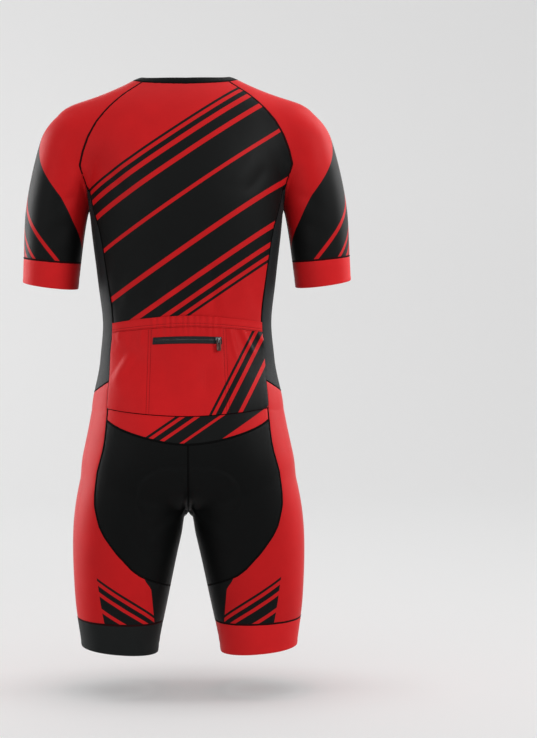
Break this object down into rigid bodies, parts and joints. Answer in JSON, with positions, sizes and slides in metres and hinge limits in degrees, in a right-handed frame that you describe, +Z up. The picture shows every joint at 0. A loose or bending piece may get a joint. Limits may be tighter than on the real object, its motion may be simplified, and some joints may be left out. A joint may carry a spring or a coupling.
{
  "type": "short-sleeved cycling skinsuit",
  "caption": "Close-fitting one-piece cycling suit with short raglan sleeves, mid-thigh shorts, a long front zip, a zipped rear pocket, broad cuffs and leg grippers, hollow and filled out.",
  "frame": {"origin": "middle of the neck opening at the height of the shoulder ends of the neck seam, in the suit's middle plane", "axes": "+Z up, +Y towards the back of the suit, +X towards the wearer's left"},
  "size_m": [0.541, 0.2391, 0.9426],
  "materials": {
    "red_knit": "smooth warp-knitted elastic polyester, printed red, slight sheen",
    "black_knit": "smooth warp-knitted elastic polyester, black, slight sheen",
    "charcoal_knit": "fine open knit, charcoal, matt",
    "red_grip": "wide elastic knit band, red, matt",
    "black_grip": "wide elastic knit band, black, matt",
    "pocket_elastic": "gathered elastic hem, red",
    "zip_tape": "woven zip tape with moulded coil, black",
    "zip_metal": "die-cast zinc, dark nickel plated",
    "pad_fabric": "brushed knit over foam"
  },
  "bodies": {
    "suit": {"back_panel": "red_knit", "front_left": "red_knit", "front_right": "red_knit", "side_panel_left": "charcoal_knit", "side_panel_right": "charcoal_knit", "sleeve_left": "red_knit", "sleeve_right": "red_knit", "cuff_left": "red_grip", "cuff_right": "red_grip", "seat_left": "black_knit", "seat_right": "black_knit", "shorts_front_left": "black_knit", "shorts_front_right": "black_knit", "leg_left": "red_knit", "leg_right": "red_knit", "leg_band_left": "black_grip", "leg_band_right": "red_grip", "neck_band": "black_knit", "front_zip": "zip_tape", "front_slider": "zip_metal", "pocket_panel": "red_knit", "pocket_band": "pocket_elastic", "pocket_zip": "zip_tape", "pocket_slider": "zip_metal", "seat_pad": "pad_fabric"},
    "pocket_pull_tab": {"pocket_pull": "zip_metal"},
    "front_pull_tab": {"front_pull": "zip_metal"}
  },
  "joints": [
    {"name": "pocket_pull_hinge", "type": "hinge", "parent": "suit", "child": "pocket_pull_tab", "pos_m": [-0.04966, 0.08744, -0.42832], "axis": [0.987, 0.161, 0], "range_deg": [0, 150]},
    {"name": "front_pull_hinge", "type": "hinge", "parent": "suit", "child": "front_pull_tab", "pos_m": [0, -0.0787, -0.07386], "axis": [-1, 0, 0], "range_deg": [0, 150]}
  ]
}
